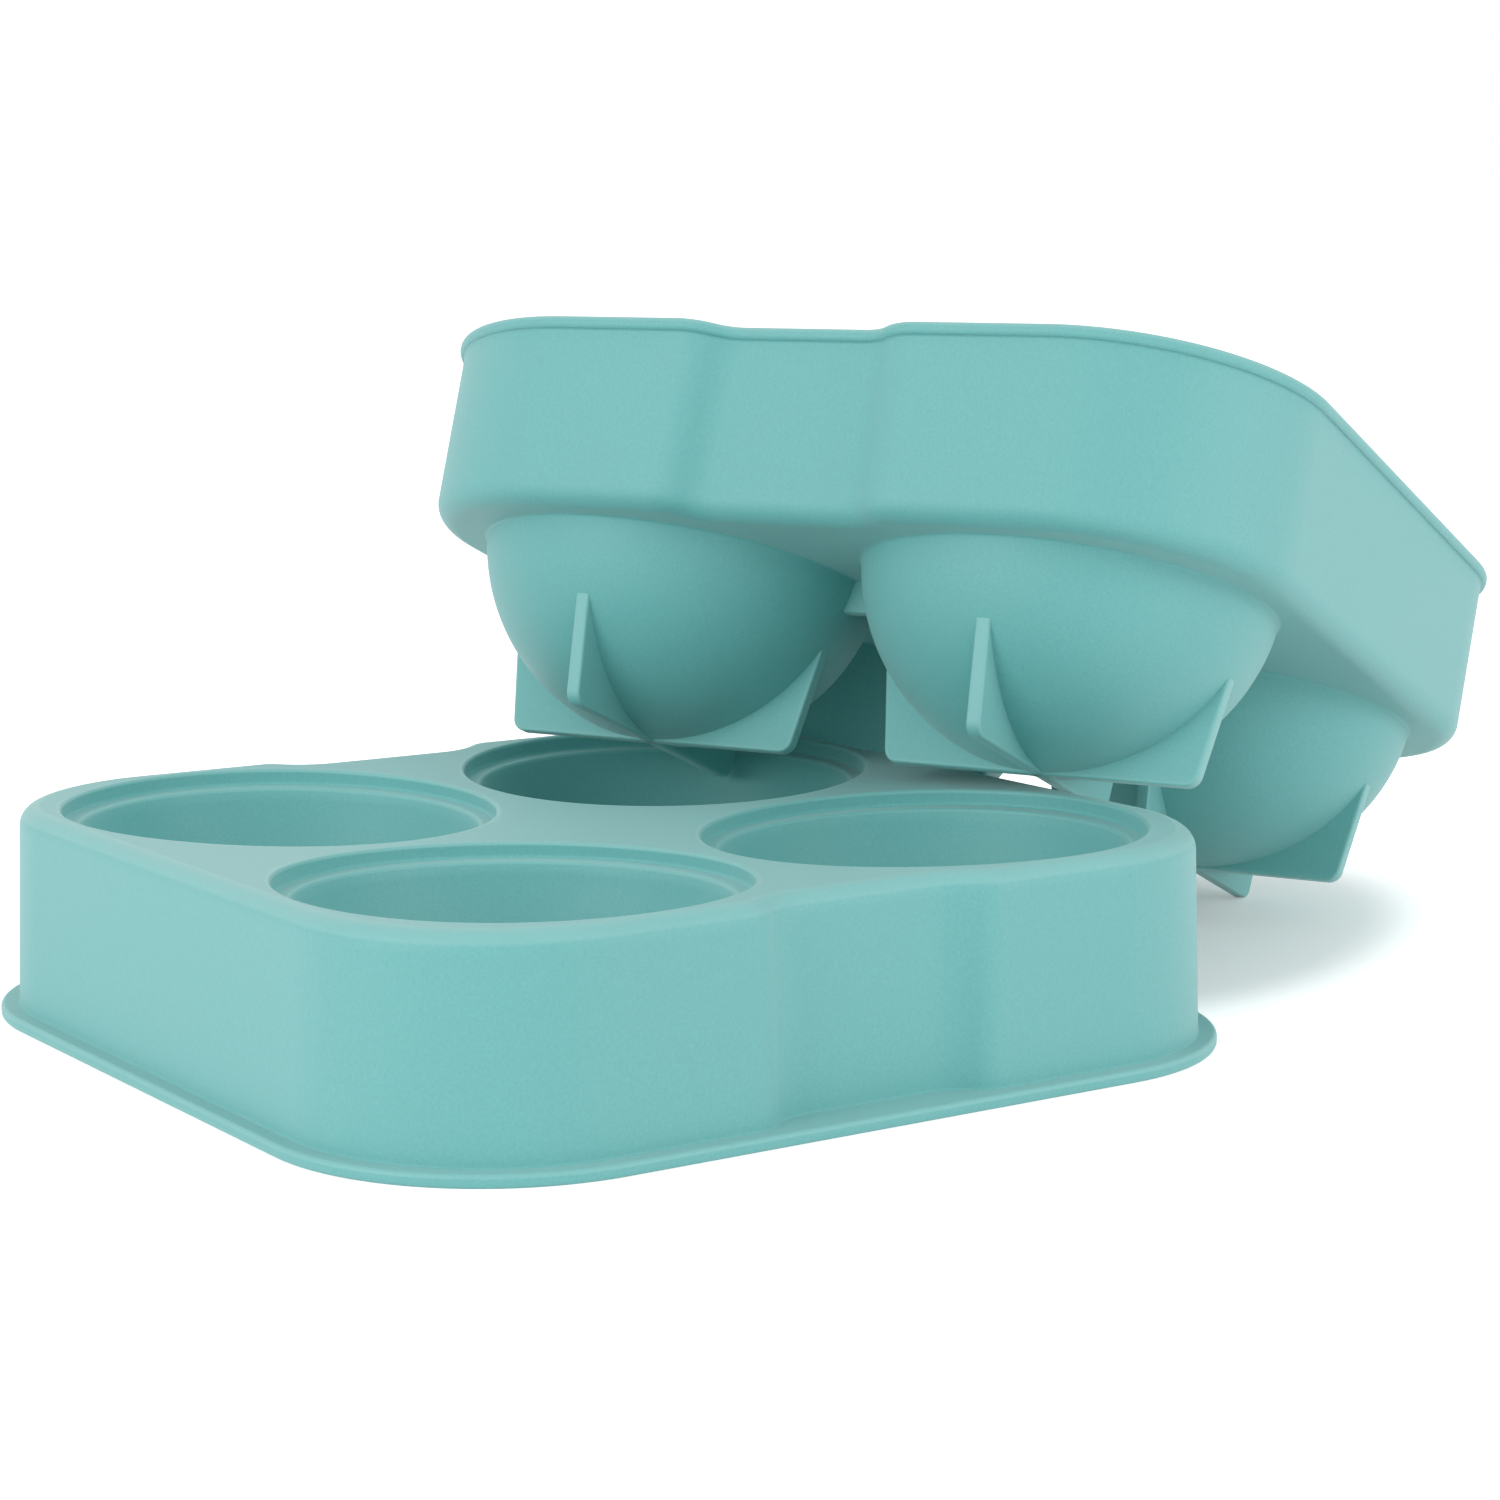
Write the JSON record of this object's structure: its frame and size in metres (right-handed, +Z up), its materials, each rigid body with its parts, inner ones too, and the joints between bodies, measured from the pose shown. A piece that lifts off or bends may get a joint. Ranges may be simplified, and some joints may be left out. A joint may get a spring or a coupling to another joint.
{
  "type": "ice ball mold",
  "caption": "Square silicone ice ball mold in two halves: a flanged lid lying mouths up, and a base tray of round cups on cross-shaped feet leaning on it.",
  "frame": {"origin": "centre of the lid half, on the plane of the flange face that it lies on", "axes": "+Z up, +X and +Y along the lid's sides; the finger recesses are in the lid's -Y and +Y sides, and the base tray leans over the +X +Y corner"},
  "size_m": [0.2016, 0.1519, 0.0812],
  "materials": {
    "lid_silicone": "matte teal silicone with a fine grain",
    "tray_silicone": "matte teal silicone with a fine grain"
  },
  "bodies": {
    "lid": {"lid_half": "lid_silicone"},
    "tray": {"base_tray": "tray_silicone"}
  },
  "joints": [
    {"name": "tray_lift", "type": "slide", "parent": "lid", "child": "tray", "axis": [0, 0, 1], "range_m": [0, 0.12]}
  ]
}
